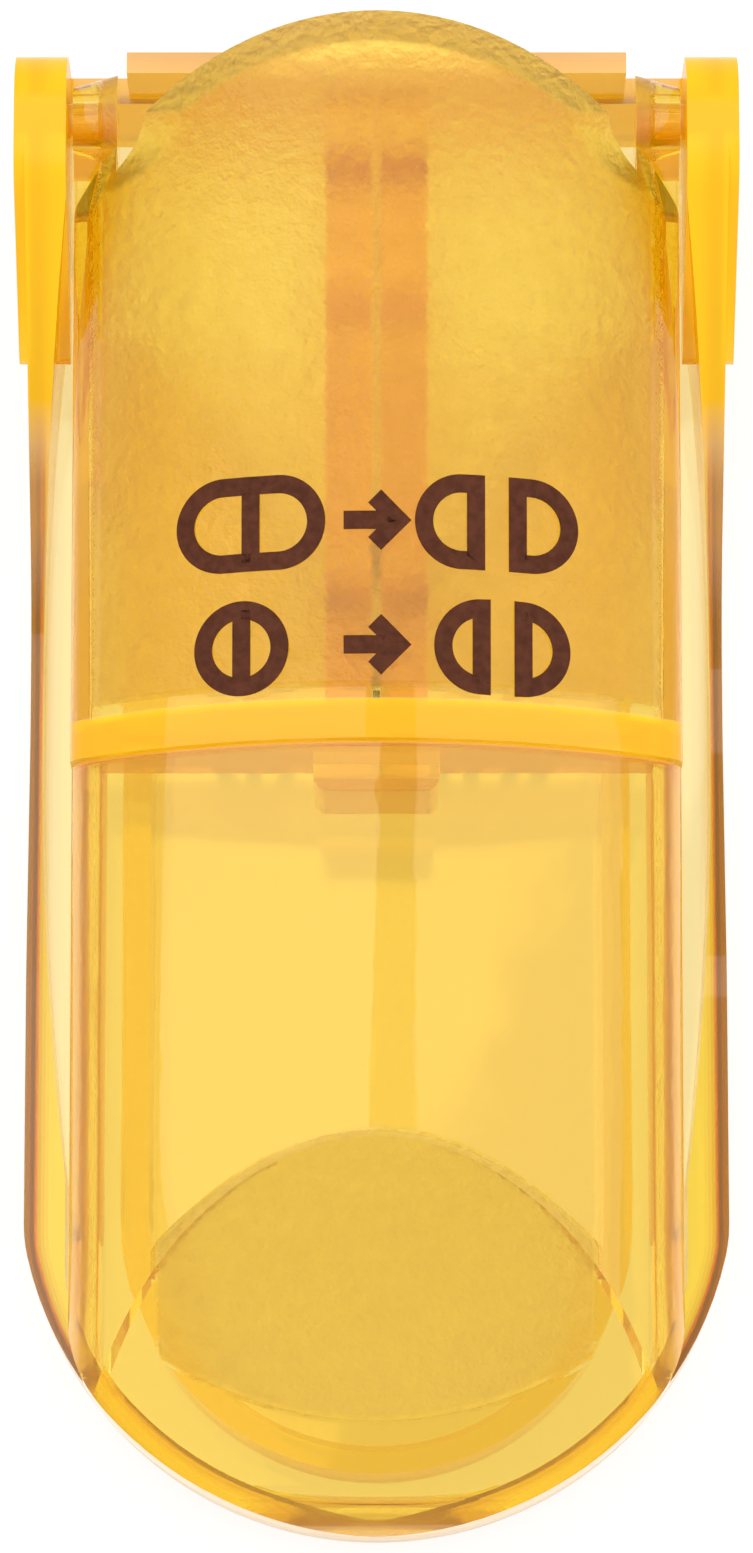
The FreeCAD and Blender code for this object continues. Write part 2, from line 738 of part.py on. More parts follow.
def hinge_pin(side):
    """Pin fixed in an ear, on which a knuckle of the lid turns."""
    ear_face = "base_half + ear_overhang"
    inner_end = "lid_half - web_thickness"
    name = "hinge_pin_" + side
    if side == "right":
        return level_cylinder(name, "pin_radius", inner_end, ear_face, "hinge_y", "hinge_height")
    return level_cylinder(
        name, "pin_radius", "-(%s)" % ear_face, "-(%s)" % inner_end, "hinge_y", "hinge_height"
    )


# Blade unit of the lid -----------------------------------------------------------------------


def stud_bores(name):
    """The two bores through the cheeks and the blade."""
    reach = "(holder_half + past)"
    bore = "stud_radius + joint_gap"
    return fuse(name, [
        level_cylinder(name + "_front", bore, "-" + reach, reach, "stud_front_y", "stud_height"),
        level_cylinder(name + "_rear", bore, "-" + reach, reach, "stud_rear_y", "stud_height"),
    ])


def under_hood(y):
    """Formula for the inside of the hood above y, on the plane of symmetry."""
    rise = "(hood_height - hood_front_height) / bulkhead_front"
    return "hood_front_height - lid_wall + (%s - bulkhead_y) * %s - holder_gap" % (y, rise)


def blade_holder(side):
    """One cheek of the blade holder, a long rib under the hood."""
    name = "blade_holder_" + side
    body = doc.addObject("PartDesign::Body", name + "_rib")
    profile = outline(body, name + "_profile", "YZ_Plane", [
        ("holder_front", "holder_bottom"),
        ("holder_rear", "holder_bottom"),
        ("holder_rear", under_hood("holder_rear")),
        ("holder_front", under_hood("holder_front")),
    ])
    offset = "holder_inner" if side == "right" else "-holder_half"
    profile.setExpression("AttachmentOffset.Base.z", in_sheet(offset))
    pad(body, name + "_pad", profile, "holder_thickness")
    relief = level_cylinder(
        name + "_relief", "relief_radius", "-holder_half - past", "holder_half + past",
        "hinge_y", "hinge_height",
    )
    tools = fuse(name + "_tools", [relief, stud_bores(name + "_bores")])
    return cut(name, body, tools)


def blade():
    """Steel blade with a ground edge, held between the cheeks."""
    body = doc.addObject("PartDesign::Body", "blade_blank")
    half = "blade_thickness / 2"
    section = outline(body, "blade_section", "XZ_Plane", [
        ("0", "blade_edge"),
        (half, "blade_edge + blade_bevel"),
        (half, "blade_top"),
        ("-" + half, "blade_top"),
        ("-" + half, "blade_edge + blade_bevel"),
    ])
    section.setExpression("AttachmentOffset.Base.z", in_sheet("-blade_rear"))
    pad(body, "blade_pad", section, "blade_rear - blade_front")
    return cut("blade", body, stud_bores("blade_bores"))


def blade_stud(end):
    """Stud through both cheeks and the blade, with a flat head on each side."""
    name = "blade_stud_" + end
    y = "stud_%s_y" % end
    foot = "holder_half + joint_gap"
    reach = foot + " + stud_head"
    shank = level_cylinder(name + "_shank", "stud_radius", "-(%s)" % reach, reach, y, "stud_height")
    heads = [
        level_cylinder(name + "_head_a", "stud_head_radius", foot, reach, y, "stud_height"),
        level_cylinder(
            name + "_head_b", "stud_head_radius", "-(%s)" % reach, "-(%s)" % foot, y, "stud_height"
        ),
    ]
    return fuse(name, [shank] + heads)


def blade_keeper():
    """Clip against the front of the bulkhead that locks the blade holder."""
    top = "nose_height - lid_wall - holder_gap"
    clip = solid_block(
        "keeper_block", "-keeper_width / 2", "keeper_width / 2",
        "bulkhead_y - joint_gap - keeper_depth", "bulkhead_y - joint_gap", "bulkhead_bottom", top,
    )
    doc.recompute()
    keeper = doc.addObject("Part::Fillet", "blade_keeper")
    keeper.Base = clip
    front = clip.Shape.BoundBox.YMin
    radius = size("keeper_round")
    rounds = []
    for number, edge in enumerate(clip.Shape.Edges, 1):
        if abs(edge.BoundBox.YMax - front) < 1e-6:
            rounds.append((number, radius, radius))
    keeper.Edges = rounds
    return keeper


# Assembly ------------------------------------------------------------------------------------


def shaped(name, shape):
    """A sub-part whose form is worked out in code from the sheet."""
    feature = doc.addObject("Part::Feature", name)
    feature.Shape = shape
    feature.Placement = FreeCAD.Placement()
    return feature


def check(parts):
    """Stop if any object failed or any sub-part isn't a sound solid."""
    for thing in doc.Objects:
        if "Invalid" in thing.State or "Error" in thing.State:
            raise RuntimeError("failed object: " + thing.Name)
    for name, thing in parts.items():
        shape = thing.Shape
        if shape.isNull() or not shape.isValid() or not shape.Solids:
            raise RuntimeError("bad shape: " + name)


def export(parts):
    os.makedirs("parts", exist_ok=True)
    for name, thing in parts.items():
        thing.Label = name
        thing.Shape.exportStep("parts/" + name + ".step")
        box = thing.Shape.BoundBox
        print("%-20s solids %d volume %9.2f box %6.2f..%6.2f %6.2f..%6.2f %6.2f..%6.2f" % (
            name, len(thing.Shape.Solids), thing.Shape.Volume,
            box.XMin, box.XMax, box.YMin, box.YMax, box.ZMin, box.ZMax,
        ))


ALL_SIZES = {row[0] for row in SIZES} | {row[0] for row in DERIVED}
fill_sheet()
parts = {
    "base_shell": shaped("base_shell", base_shell()),
    "pill_cradle": pill_cradle(),
    "cradle_grip_left": cradle_grip("left"),
    "cradle_grip_right": cradle_grip("right"),
    "storage_tray": storage_tray(),
    "hinge_pin_left": hinge_pin("left"),
    "hinge_pin_right": hinge_pin("right"),
    "lid_shell": shaped("lid_shell", lid_shell()),
    "blade_holder_left": blade_holder("left"),
    "blade_holder_right": blade_holder("right"),
    "blade": blade(),
    "blade_stud_front": blade_stud("front"),
    "blade_stud_rear": blade_stud("rear"),
    "blade_keeper": blade_keeper(),
}
doc.recompute()
check(parts)
export(parts)
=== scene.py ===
"""Looks of the pocket pill splitter: clear amber plastic, frosted hood, printed tablet signs."""
import math

import bpy
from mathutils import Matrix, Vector
from mathutils.bvhtree import BVHTree


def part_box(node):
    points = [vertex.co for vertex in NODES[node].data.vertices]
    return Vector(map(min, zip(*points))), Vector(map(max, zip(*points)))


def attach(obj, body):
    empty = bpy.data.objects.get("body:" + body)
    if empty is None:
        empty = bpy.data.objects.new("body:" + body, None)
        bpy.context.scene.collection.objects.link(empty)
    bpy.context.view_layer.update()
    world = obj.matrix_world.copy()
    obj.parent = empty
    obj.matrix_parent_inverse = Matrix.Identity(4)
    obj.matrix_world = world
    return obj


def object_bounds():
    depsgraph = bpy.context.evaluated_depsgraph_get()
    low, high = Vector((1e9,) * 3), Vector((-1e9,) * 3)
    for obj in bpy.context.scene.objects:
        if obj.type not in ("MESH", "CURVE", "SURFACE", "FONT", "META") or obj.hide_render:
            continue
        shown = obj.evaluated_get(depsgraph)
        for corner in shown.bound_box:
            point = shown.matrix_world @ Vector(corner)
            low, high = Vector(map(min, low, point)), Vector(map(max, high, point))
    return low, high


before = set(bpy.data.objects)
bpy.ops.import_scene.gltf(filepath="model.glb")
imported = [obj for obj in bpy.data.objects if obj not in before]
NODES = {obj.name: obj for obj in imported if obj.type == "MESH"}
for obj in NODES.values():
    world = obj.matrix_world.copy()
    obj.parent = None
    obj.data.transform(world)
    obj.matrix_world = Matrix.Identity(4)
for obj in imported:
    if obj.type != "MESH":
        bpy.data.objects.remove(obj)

MM = 0.001
CAD_BOX = [list(corner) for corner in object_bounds()]
LOW, HIGH = Vector(CAD_BOX[0]), Vector(CAD_BOX[1])

# What a metre of the plastic takes off red, green and blue light.
AMBER_ABSORPTION = (1.5, 30.0, 430.0)
PLASTIC_IOR = 1.5
# Share of that absorption in the cradle and tray, and in the soft grips.
INSERT_DENSITY = 0.7
GRIP_DENSITY = 0.5

# What each surface of the plastic lets through.
AMBER_TINT = (0.935, 0.842, 0.58)
PALE_AMBER = (1.0, 0.90, 0.79)
HOLDER_AMBER = (0.98, 0.86, 0.20)
# Colour of the plastic where it is thick or frosted enough to scatter the light.
DEEP_AMBER = (0.96, 0.57, 0.004)
WALL_AMBER = (0.96, 0.60, 0.012)
HOLDER_WALL_AMBER = (0.98, 0.70, 0.02)
FROSTED_AMBER = (0.98, 0.81, 0.20)
# The steel, and the two tones of the print.
STEEL_GREY = (0.72, 0.72, 0.73)
INK_BROWN = (0.095, 0.024, 0.008)
INK_DARK_BROWN = (0.065, 0.016, 0.005)

# Painted glow: all the plastic gives off a faint light of its own, which shows most at the edges,
# and more on cloudy walls.
PAINTED_GLOW = 0.022
PAINTED_WALL_GLOW = 0.10
# How much of the room clear plastic, its cloudy walls and the ink mirror.
CLEAR_SPECULAR = 0.5
WALL_SPECULAR = 0.08
INK_SPECULAR = 0.12
# Share of the light that goes straight through where a part is cloudy.
WALL_CLARITY = 0.55
BASE_CLARITY = 0.4
# How cloudy the walls of the base and of the lid are, and the base's rear bar, up to 1.
BASE_WALLS = 0.5
LID_WALLS = 0.7
BAR_CLOUD = 0.6
# A face counts as a wall when its normal is less upright than this; the change takes a blend.
WALL_LEVEL = 0.6
BASE_WALL_LEVEL = 0.98
WALL_BLEND = 0.2
# How upright the normal of a face is where the face begins to look up, and where it does.
UPWARD = (0.05, 0.2)

# Roughness, from least to most, of handled, frosted, printed and ground faces.
HANDLED = (0.015, 0.09)
FROSTED = (0.34, 0.46)
PRINTED = (0.4, 0.6)
GROUND = (0.22 * 0.7, 0.22 * 1.3)
# Roughness of new plastic and of the grips, and what a cloudy place adds.
UNMARKED = 0.02
GRIP_ROUGHNESS = 0.35
CLOUD_ROUGHNESS = 0.2

# Scales of the noise textures, per metre. The grind's is drawn out along the blade.
SMEARS = 160.0
WAVES = 90.0
STIPPLE = 900.0
GRAIN = 1500.0
GRIP_TEXTURE = 1400.0
GRIND = 6000.0
GRIND_STRETCH = 0.03
INK_PATCHES = 1800.0
# The parts of the noise's own range that become 0 to 1.
NOISE_SPAN = (0.3, 0.7)
SMEAR_SPAN = (0.45, 0.75)
PATCH_SPAN = (0.35, 0.65)

# Heights between which the base's arms turn cloudy, how far outside the lid they begin, and
# how far in front of the lid's rear end the bar does.
ARM_FOOT, ARM_TOP = 6.5 * MM, 10.5 * MM
ARM_GAP = 0.1 * MM
BAR_START = 1.5 * MM
ARM_BLEND = 0.2 * MM
# Frosted areas of the lid: the hood's half width and its gap behind the cross wall, the thumb
# pad's half width and its ends behind the lid's front, and how much those ends bow, per metre.
HOOD_HALF = 15.4 * MM
HOOD_GAP = 0.9 * MM
PAD_HALF = 11.9 * MM
PAD_REAR, PAD_REAR_BOW = 21.2 * MM, 41.0
PAD_FRONT, PAD_FRONT_BOW = 6.2 * MM, 24.0
FROST_BLEND = 0.3 * MM
CROSS_BLEND = 0.1 * MM


# Node helpers --------------------------------------------------------------------------------


class Tree:
    """A new material's nodes."""

    def __init__(self, name):
        self.material = bpy.data.materials.new(name)
        self.material.use_nodes = True
        self.material.cycles.emission_sampling = "NONE"
        self.nodes = self.material.node_tree.nodes
        self.links = self.material.node_tree.links
        self.nodes.clear()
        self.output = self.nodes.new("ShaderNodeOutputMaterial")

    def add(self, kind, **settings):
        node = self.nodes.new("ShaderNode" + kind)
        for name, value in settings.items():
            setattr(node, name, value)
        return node

    def link(self, source, target):
        self.links.new(source, target)

    def coordinates(self):
        return self.add("TexCoord").outputs["Object"]

    def noise(self, scale, detail=2.0, roughness=0.5):
        """Noise in the object's own metres."""
        node = self.add("TexNoise")
        node.inputs["Scale"].default_value = scale
        node.inputs["Detail"].default_value = detail
        node.inputs["Roughness"].default_value = roughness
        self.link(self.coordinates(), node.inputs["Vector"])
        return node.outputs["Fac"]

    def math(self, operation, first, second=0.0):
        """Result of a sum on numbers or sockets."""
        node = self.add("Math", operation=operation)
        for socket, value in zip(node.inputs, (first, second)):
            if isinstance(value, (int, float)):
                socket.default_value = value
            else:
                self.link(value, socket)
        return node.outputs[0]

    def span(self, value, low, high, to_low=0.0, to_high=1.0):
        """Map a value from one range to another, clamped."""
        node = self.add("MapRange", clamp=True)
        ends = {"From Min": low, "From Max": high, "To Min": to_low, "To Max": to_high}
        for name, amount in ends.items():
            node.inputs[name].default_value = amount
        self.link(value, node.inputs["Value"])
        return node.outputs["Result"]

    def axes(self):
        """X, Y and Z of the surface point, in the object's metres."""
        node = self.add("SeparateXYZ")
        self.link(self.coordinates(), node.inputs[0])
        return node.outputs

    def times(self, first, second):
        return self.math("MULTIPLY", first, second)

    def either(self, first, second):
        """The larger of two masks."""
        return self.math("MAXIMUM", first, second)

    def above(self, value, at, width):
        """0 below at, 1 above it, over a short width."""
        return self.span(value, at - width / 2, at + width / 2)

    def below(self, value, at, width):
        """1 below at, 0 above it, over a short width."""
        return self.math("SUBTRACT", 1.0, self.above(value, at, width))

    def normal_z(self):
        """Height of the face's normal: 1 looks up, 0 sideways, -1 down."""
        node = self.add("SeparateXYZ")
        self.link(self.add("NewGeometry").outputs["True Normal"], node.inputs[0])
        return node.outputs[2]

    def mix_colour(self, mask, plain, masked):
        """One colour outside a mask and another inside it, each a tuple or a socket."""
        mix = self.add("Mix", data_type="RGBA")
        self.link(mask, mix.inputs["Factor"])
        for socket, colour in ((mix.inputs[6], plain), (mix.inputs[7], masked)):
            if isinstance(colour, tuple):
                socket.default_value = (*colour, 1.0)
            else:
                self.link(colour, socket)
        return mix.outputs[2]

    def mix_value(self, mask, plain, masked):
        """One value outside a mask and another inside it."""
        mix = self.add("Mix")
        self.link(mask, mix.inputs["Factor"])
        self.link(plain, mix.inputs[2])
        self.link(masked, mix.inputs[3])
        return mix.outputs[0]

    def bump(self, height, strength, distance):
        """Normal of a surface that a height from 0 to 1 makes uneven."""
        node = self.add("Bump")
        node.inputs["Strength"].default_value = strength
        node.inputs["Distance"].default_value = distance
        self.link(height, node.inputs["Height"])
        return node.outputs["Normal"]


# Masks ---------------------------------------------------------------------------------------


def wall_mask(tree, level=WALL_LEVEL):
    """1 on upright faces, 0 on those whose normal is nearer the vertical than level."""
    flatness = tree.math("ABSOLUTE", tree.normal_z())
    return tree.span(flatness, level - WALL_BLEND, level, 1.0, 0.0)


def upward(tree):
    """1 on faces that look up, 0 on faces that look down."""
    return tree.span(tree.normal_z(), *UPWARD)


def ear_mask(tree):
    """The thick ears and arms beside the lid, and more faintly the bar behind it."""
    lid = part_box("lid_shell")[1]
    x, y, z = tree.axes()
    outside = tree.above(tree.math("ABSOLUTE", x), lid.x + ARM_GAP, ARM_BLEND)
    bar = tree.times(tree.above(y, lid.y - BAR_START, ARM_BLEND), BAR_CLOUD)
    high = tree.span(z, ARM_FOOT, ARM_TOP)
    return tree.times(tree.either(outside, bar), high)


def hood_mask(tree, x, y):
    """The frosted top of the hood, between its rim and the cross wall."""
    cross_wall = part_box("blade_holder_right")[0].y
    inside = tree.below(tree.math("ABSOLUTE", x), HOOD_HALF, FROST_BLEND)
    behind = tree.above(y, cross_wall + HOOD_GAP, FROST_BLEND)
    return tree.times(tree.times(inside, behind), upward(tree))


def cross_mask(tree, y):
    """The cross wall between the hood and the front half."""
    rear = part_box("blade_holder_right")[0].y
    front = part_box("blade_keeper")[1].y
    begun = tree.above(y, front - CROSS_BLEND, CROSS_BLEND)
    ended = tree.above(y, rear + CROSS_BLEND, CROSS_BLEND)
    return tree.math("SUBTRACT", begun, ended)


def pad_mask(tree, x, y):
    """The frosted thumb pad on the ramp, whose rear and front edges are bowed."""
    square = tree.times(x, x)
    sides = tree.below(tree.math("ABSOLUTE", x), PAD_HALF, FROST_BLEND)
    bowed_rear = tree.math("ADD", y, tree.times(square, PAD_REAR_BOW))
    rear = tree.below(bowed_rear, LOW.y + PAD_REAR, FROST_BLEND)
    bowed_front = tree.math("SUBTRACT", y, tree.times(square, PAD_FRONT_BOW))
    front = tree.above(bowed_front, LOW.y + PAD_FRONT, FROST_BLEND)
    return tree.times(tree.times(sides, tree.times(rear, front)), upward(tree))


# Materials -----------------------------------------------------------------------------------


def clear_plastic(name, density=1.0, tint=AMBER_TINT):
    """Principled glass with a faint painted glow, and a volume that takes off light by its depth.
    """
    tree = Tree(name)
    shader = tree.add("BsdfPrincipled")
    shader.inputs["Base Color"].default_value = (*tint, 1.0)
    shader.inputs["Transmission Weight"].default_value = 1.0
    shader.inputs["IOR"].default_value = PLASTIC_IOR
    shader.inputs["Roughness"].default_value = UNMARKED
    # Painted glow: every face gives off a faint deep amber light.
    shader.inputs["Emission Color"].default_value = (*DEEP_AMBER, 1.0)
    shader.inputs["Emission Strength"].default_value = PAINTED_GLOW
    volume = tree.add("VolumeAbsorption")
    most = max(AMBER_ABSORPTION)
    kept = [1.0 - part / most for part in AMBER_ABSORPTION]
    volume.inputs["Color"].default_value = (*kept, 1.0)
    volume.inputs["Density"].default_value = most * density
    tree.link(shader.outputs[0], tree.output.inputs["Surface"])
    tree.link(volume.outputs[0], tree.output.inputs["Volume"])
    return tree, shader


def scatter(tree, shader, mask, least):
    """Let less light straight through where the mask is 1, mirror less of the room there, and
    paint a stronger glow there.
    """
    for name, clear, cloudy in (
        ("Transmission Weight", 1.0, least),
        ("Specular IOR Level", CLEAR_SPECULAR, WALL_SPECULAR),
        ("Emission Strength", PAINTED_GLOW, PAINTED_WALL_GLOW),
    ):
        tree.link(tree.span(mask, 0.0, 1.0, clear, cloudy), shader.inputs[name])


def handling_marks(tree):
    """Faint smears and moulding flow for the gloss of a plastic part."""
    return tree.span(tree.noise(SMEARS, detail=4.0, roughness=0.6), *SMEAR_SPAN, *HANDLED)


def moulding_waves(tree, shader):
    """The slight waves of a moulded face."""
    waves = tree.bump(tree.noise(WAVES, detail=1.0), strength=0.12, distance=0.4 * MM)
    tree.link(waves, shader.inputs["Normal"])


def base_amber(name):
    """Base: clear, with ears and arms that scatter the light."""
    tree, shader = clear_plastic(name)
    ears, walls = ear_mask(tree), wall_mask(tree, BASE_WALL_LEVEL)
    cloudy = tree.either(ears, tree.times(walls, BASE_WALLS))
    colour = tree.mix_colour(tree.either(ears, walls), PALE_AMBER, DEEP_AMBER)
    tree.link(colour, shader.inputs["Base Color"])
    # Painted glow: stronger on the cloudy ears, arms and walls.
    scatter(tree, shader, cloudy, BASE_CLARITY)
    rough = tree.math("ADD", handling_marks(tree), tree.times(cloudy, CLOUD_ROUGHNESS))
    tree.link(rough, shader.inputs["Roughness"])
    moulding_waves(tree, shader)
    return tree.material


def moulded_amber(name, density=1.0, tint=AMBER_TINT, walls=WALL_AMBER):
    """Plain moulded part: glossy, slightly wavy, with faint smears and deeper coloured walls."""
    tree, shader = clear_plastic(name, density, tint)
    upright = wall_mask(tree)
    tree.link(tree.mix_colour(upright, tint, walls), shader.inputs["Base Color"])
    # Painted glow: stronger on the upright walls.
    scatter(tree, shader, upright, WALL_CLARITY)
    tree.link(handling_marks(tree), shader.inputs["Roughness"])
    moulding_waves(tree, shader)
    return tree.material


def lid_amber(name):
    """Lid: frosted stippled hood and thumb pad, glossy everywhere else."""
    tree, shader = clear_plastic(name)
    x, y = tree.axes()[:2]
    hood = hood_mask(tree, x, y)
    frost = tree.either(hood, pad_mask(tree, x, y))
    cloudy = tree.either(cross_mask(tree, y), tree.times(wall_mask(tree), LID_WALLS))
    colour = tree.mix_colour(hood, AMBER_TINT, FROSTED_AMBER)
    colour = tree.mix_colour(cloudy, colour, WALL_AMBER)
    tree.link(colour, shader.inputs["Base Color"])
    # Painted glow: stronger on the cross wall and the upright walls.
    scatter(tree, shader, cloudy, WALL_CLARITY)
    stippled = tree.span(tree.noise(STIPPLE), *NOISE_SPAN, *FROSTED)
    rough = tree.mix_value(frost, handling_marks(tree), stippled)
    tree.link(rough, shader.inputs["Roughness"])
    grain = tree.times(tree.noise(GRAIN, roughness=0.6), frost)
    grain = tree.bump(grain, strength=0.9, distance=0.15 * MM)
    tree.link(grain, shader.inputs["Normal"])
    return tree.material


def soft_grip(name):
    """Clear elastomer, matt, with a fine texture."""
    tree, shader = clear_plastic(name, GRIP_DENSITY)
    # The grips keep the faint painted glow set in clear_plastic.
    shader.inputs["Roughness"].default_value = GRIP_ROUGHNESS
    texture = tree.bump(tree.noise(GRIP_TEXTURE), strength=0.3, distance=0.1 * MM)
    tree.link(texture, shader.inputs["Normal"])
    return tree.material


def steel(name):
    """Stainless steel with a fine grind along its length."""
    tree = Tree(name)
    shader = tree.add("BsdfPrincipled")
    shader.inputs["Base Color"].default_value = (*STEEL_GREY, 1.0)
    shader.inputs["Metallic"].default_value = 1.0
    stretch = tree.add("Mapping")
    stretch.inputs["Scale"].default_value = (1.0, GRIND_STRETCH, 1.0)
    tree.link(tree.coordinates(), stretch.inputs["Vector"])
    lines = tree.add("TexNoise")
    lines.inputs["Scale"].default_value = GRIND
    tree.link(stretch.outputs[0], lines.inputs["Vector"])
    grind = lines.outputs["Fac"]
    tree.link(tree.span(grind, *NOISE_SPAN, *GROUND), shader.inputs["Roughness"])
    grooves = tree.bump(grind, strength=0.15, distance=0.05 * MM)
    tree.link(grooves, shader.inputs["Normal"])
    tree.link(shader.outputs[0], tree.output.inputs["Surface"])
    return tree.material


def dress_nodes():
    """Give every CAD node its material."""
    base = base_amber("amber_base")
    insert = moulded_amber("amber_insert", INSERT_DENSITY)
    holder = moulded_amber("amber_holder", tint=HOLDER_AMBER, walls=HOLDER_WALL_AMBER)
    lid = lid_amber("amber_lid")
    grip = soft_grip("grip")
    blade = steel("blade_steel")
    finish = {
        "base_shell": base,
        "hinge_pin_left": base,
        "hinge_pin_right": base,
        "pill_cradle": insert,
        "storage_tray": insert,
        "cradle_grip_left": grip,
        "cradle_grip_right": grip,
        "lid_shell": lid,
        "blade_holder_left": holder,
        "blade_holder_right": holder,
        "blade_keeper": holder,
        "blade": blade,
        "blade_stud_front": holder,
        "blade_stud_rear": holder,
    }
    for name, material in finish.items():
        mesh = NODES[name].data
        mesh.materials.clear()
        mesh.materials.append(material)


# Printed signs on the hood --------------------------------------------------------------------

INK_WIDTH = 1.0 * MM
# The ink's gap over the hood, its own thickness, and the longest step along a stroke.
INK_LIFT = 0.04 * MM
INK_DEPTH = 0.05 * MM
STEP = 0.25 * MM
# The least share of the true mitre length at a sharp corner.
MITRE_LIMIT = 0.5
# A row of a stroke's mesh has three points on top and three under them.
ROW = 6
ARC_STEPS = 40

SIGN_HEIGHT = 5.2 * MM
SIGN_RADIUS = (SIGN_HEIGHT - INK_WIDTH) / 2
# Piece, distance behind the cross wall, how much longer than round the tablet is, and how far
# the whole tablet and the cut between its halves are from the middle.
SIGNS = (
    ("print_oblong_tablet", 9.8 * MM, 3.0 * MM, 6.9 * MM, 6.6 * MM),
    ("print_round_tablet", 3.0 * MM, 0.0, 7.4 * MM, 6.9 * MM),
)
# Half the clear gap between the halves, and the arrow's middle, half length and wings.
HALF_GAP = 0.65 * MM
ARROW_MIDDLE = -0.3 * MM
ARROW_HALF = 1.5 * MM
ARROW_WING = 1.3 * MM


def ink(name):
    """Dark brown screen print, a little uneven."""
    tree = Tree(name)
    shader = tree.add("BsdfPrincipled")
    cover = tree.noise(INK_PATCHES, detail=3.0, roughness=0.6)
    tone = tree.mix_colour(tree.span(cover, *PATCH_SPAN), INK_BROWN, INK_DARK_BROWN)
    tree.link(tone, shader.inputs["Base Color"])
    tree.link(tree.span(cover, *NOISE_SPAN, *PRINTED), shader.inputs["Roughness"])
    shader.inputs["Specular IOR Level"].default_value = INK_SPECULAR
    uneven = tree.bump(cover, strength=0.2, distance=0.03 * MM)
    tree.link(uneven, shader.inputs["Normal"])
    tree.link(shader.outputs[0], tree.output.inputs["Surface"])
    return tree.material


def lid_surface():
    """Function that gives the height of the lid's top at x, y."""
    lid = NODES["lid_shell"]
    matrix = lid.matrix_world
    mesh = lid.data
    mesh.calc_loop_triangles()
    points = [matrix @ vertex.co for vertex in mesh.vertices]
    faces = [tuple(triangle.vertices) for triangle in mesh.loop_triangles]
    surface = BVHTree.FromPolygons(points, faces)
    above = HIGH.z + 10 * MM
    down = Vector((0.0, 0.0, -1.0))
    return lambda x, y: surface.ray_cast(Vector((x, y, above)), down)[0].z


def dense(points, closed):
    """The polyline with a point every STEP or less."""
    ends = points[1:] + points[:1] if closed else points[1:]
    result = []
    for start, end in zip(points, ends):
        count = max(1, math.ceil((end - start).length / STEP))
        result += [start.lerp(end, index / count) for index in range(count)]
    if not closed:
        result.append(points[-1])
    return result


def ribbon(points, closed):
    """Left, middle and right points of an even stroke along a polyline, mitred at its corners."""
    rows = []
    count = len(points)
    for index, here in enumerate(points):
        before = points[index - 1] if closed or index else None
        after = points[(index + 1) % count] if closed or index + 1 < count else None
        into = (here - before).normalized() if before is not None else None
        out = (after - here).normalized() if after is not None else into
        into = into or out
        normal = Vector((-(into + out).y, (into + out).x)).normalized()
        reach = INK_WIDTH / 2 / max(MITRE_LIMIT, normal.dot(Vector((-into.y, into.x))))
        rows.append([here + normal * reach, here, here - normal * reach])
    return rows


def ink_mesh(name, strokes, surface):
    """Strokes (points, closed) as a thin layer over the surface, with its own thickness."""
    vertices, faces = [], []
    for points, closed in strokes:
        rows = ribbon(dense([Vector(point) for point in points], closed), closed)
        first = len(vertices)
        for row in rows:
            for lift in (INK_LIFT + INK_DEPTH, INK_LIFT):
                vertices += [(p.x, p.y, surface(p.x, p.y) + lift) for p in row]
        count = len(rows)
        for index in range(count if closed else count - 1):
            a = first + ROW * index
            b = first + ROW * ((index + 1) % count)
            faces += [
                (a, a + 1, b + 1, b), (a + 1, a + 2, b + 2, b + 1),
                (a + 4, a + 3, b + 3, b + 4), (a + 5, a + 4, b + 4, b + 5),
                (a + 3, a, b, b + 3), (a + 2, a + 5, b + 5, b + 2),
            ]
        if not closed:
            last = first + ROW * (count - 1)
            faces += [
                (first, first + 3, first + 4, first + 1),
                (first + 1, first + 4, first + 5, first + 2),
                (last + 1, last + 4, last + 3, last),
                (last + 2, last + 5, last + 4, last + 1),
            ]
    mesh = bpy.data.meshes.new(name)
    mesh.from_pydata(vertices, [], faces)
    mesh.update()
    return mesh


def arc(x, y, start, end):
    """Points on a sign's round end, angles in degrees."""
    points = []
    for index in range(ARC_STEPS + 1):
        turn = math.radians(start + (end - start) * index / ARC_STEPS)
        points.append((x + SIGN_RADIUS * math.cos(turn), y + SIGN_RADIUS * math.sin(turn)))
    return points


def whole_tablet(x, y, stretch):
    """A tablet with its score line; stretch lengthens a round one to an oblong one."""
    right = arc(x + stretch / 2, y, -90, 90)
    left = arc(x - stretch / 2, y, 90, 270)
    if not stretch:
        right, left = right[:-1], left[:-1]
    return [(right + left, True), ([(x, y - SIGN_RADIUS), (x, y + SIGN_RADIUS)], False)]


def half_tablet(x, y, stretch, turn):
    """One half of a tablet, flat face at x; turn is 1 for the right half, -1 for the left."""
    outline = [(x + turn * (px - x), py) for px, py in arc(x + stretch / 2, y, -90, 90)]
    if stretch:
        outline = [(x, y - SIGN_RADIUS)] + outline + [(x, y + SIGN_RADIUS)]
    return [(outline, True)]


def arrow(x, y):
    """A short arrow that points to the right."""
    tip, wing = x + ARROW_HALF, x + ARROW_HALF - ARROW_WING
    return [
        ([(x - ARROW_HALF, y), (tip - INK_WIDTH / 2, y)], False),
        ([(wing, y + ARROW_WING), (tip, y), (wing, y - ARROW_WING)], False),
    ]


def print_signs():
    """Two rows on the hood: a whole tablet, an arrow and its two halves."""
    surface = lid_surface()
    material = ink("print_ink")
    cross_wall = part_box("blade_holder_right")[0].y
    apart = HALF_GAP + INK_WIDTH / 2
    for name, behind, stretch, whole_away, halves_away in SIGNS:
        y = cross_wall + behind
        strokes = whole_tablet(-whole_away, y, stretch) + arrow(ARROW_MIDDLE, y)
        strokes += half_tablet(halves_away - apart, y, stretch / 2, -1)
        strokes += half_tablet(halves_away + apart, y, stretch / 2, 1)
        piece = bpy.data.objects.new(name, ink_mesh(name, strokes, surface))
        piece.data.materials.append(material)
        bpy.context.scene.collection.objects.link(piece)
        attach(piece, "lid")


